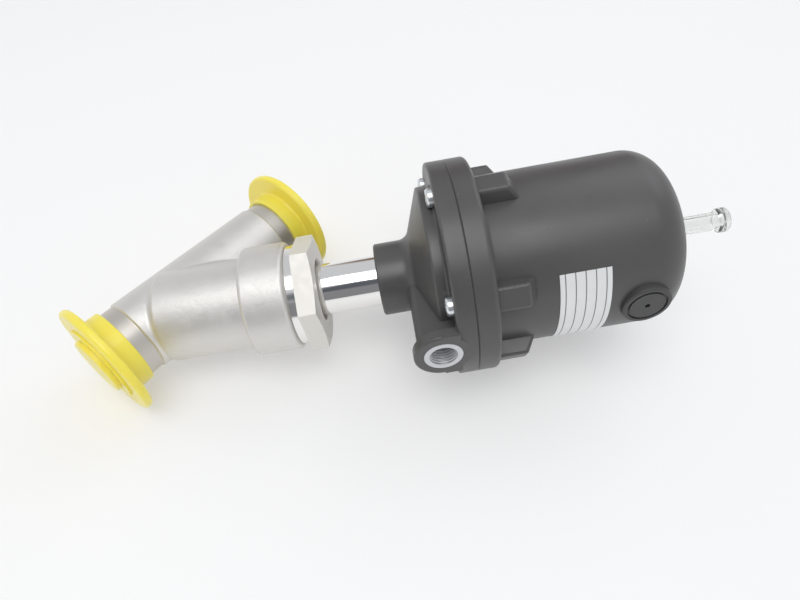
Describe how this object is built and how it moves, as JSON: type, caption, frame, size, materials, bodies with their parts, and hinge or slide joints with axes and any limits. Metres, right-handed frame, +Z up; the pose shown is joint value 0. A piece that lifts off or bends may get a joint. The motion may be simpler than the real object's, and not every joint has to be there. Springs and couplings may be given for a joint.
{
  "type": "angle seat valve",
  "caption": "Pneumatic angle seat valve: inclined-neck steel body with weld ends and push-on caps, union nut, piston actuator, air port and sight cap.",
  "frame": {"origin": "centre of the inlet weld face, on the pipe axis", "axes": "+X along the pipe axis from the inlet to the outlet, +Z up with the valve lying on its side, the actuator towards -Y"},
  "size_m": [0.2227, 0.2117, 0.0984],
  "materials": {
    "cast_stainless": "bead blasted investment casting",
    "turned_stainless": "turned",
    "polished_stainless": "polished",
    "bronze": "machined",
    "spring_steel": "oiled",
    "black_polyamide": "moulded, glass filled",
    "black_vent": "moulded",
    "nickel_brass": "nickel plated brass",
    "seal_rubber": "moulded",
    "ptfe_white": "PTFE",
    "zinc_screw": "zinc plated",
    "clear_plastic": "clear",
    "label_foil": "printed foil",
    "piston_aluminium": "turned",
    "indicator_plastic": "red",
    "yellow_cap": "moulded polyethylene"
  },
  "bodies": {
    "valve": {"valve_body": "cast_stainless", "body_gasket": "ptfe_white", "union_nut": "turned_stainless"},
    "actuator": {"spacer_tube": "polished_stainless", "gland_bush": "bronze", "packing_ring_1": "ptfe_white", "packing_ring_2": "ptfe_white", "packing_ring_3": "ptfe_white", "packing_ring_4": "ptfe_white", "packing_washer": "turned_stainless", "packing_spring": "spring_steel", "upper_bush": "bronze", "actuator_base": "black_polyamide", "port_insert": "nickel_brass", "base_bush": "bronze", "rod_seal": "seal_rubber", "housing_ring": "seal_rubber", "actuator_cylinder": "black_polyamide", "vent_plug": "black_vent", "cover_screw_1": "zinc_screw", "cover_screw_2": "zinc_screw", "cover_screw_3": "zinc_screw", "cover_screw_4": "zinc_screw", "cover_screw_5": "zinc_screw", "cover_screw_6": "zinc_screw", "screw_insert_1": "nickel_brass", "screw_insert_2": "nickel_brass", "screw_insert_3": "nickel_brass", "screw_insert_4": "nickel_brass", "screw_insert_5": "nickel_brass", "screw_insert_6": "nickel_brass", "spring_seat": "turned_stainless", "outer_spring": "spring_steel", "inner_spring": "spring_steel", "sight_cap": "clear_plastic", "sight_ring": "seal_rubber", "label": "label_foil"},
    "spindle": {"spindle": "polished_stainless", "plug_holder": "turned_stainless", "seat_seal": "ptfe_white", "seal_retainer": "turned_stainless", "plug_nut": "turned_stainless", "piston": "piston_aluminium", "piston_seal": "seal_rubber", "piston_guide_ring": "ptfe_white", "piston_nut": "turned_stainless", "indicator_pin": "indicator_plastic"},
    "inlet_cap": {"inlet_cap": "yellow_cap"},
    "outlet_cap": {"outlet_cap": "yellow_cap"}
  },
  "joints": [
    {"name": "actuator_swivel", "type": "hinge", "parent": "valve", "child": "actuator", "pos_m": [0.03, 0, 0], "axis": [0.7071, -0.6905, 0.1522], "continuous": true},
    {"name": "spindle_lift", "type": "slide", "parent": "actuator", "child": "spindle", "axis": [0.7071, -0.6905, 0.1522], "range_m": [0, 0.014], "stiffness_N_per_m": 1500, "springref_m": -0.004, "deforming": ["outer_spring", "inner_spring"]},
    {"name": "inlet_cap_pull", "type": "slide", "parent": "valve", "child": "inlet_cap", "axis": [-1, 0, 0], "range_m": [0, 0.045]},
    {"name": "outlet_cap_pull", "type": "slide", "parent": "valve", "child": "outlet_cap", "axis": [1, 0, 0], "range_m": [0, 0.045]}
  ]
}
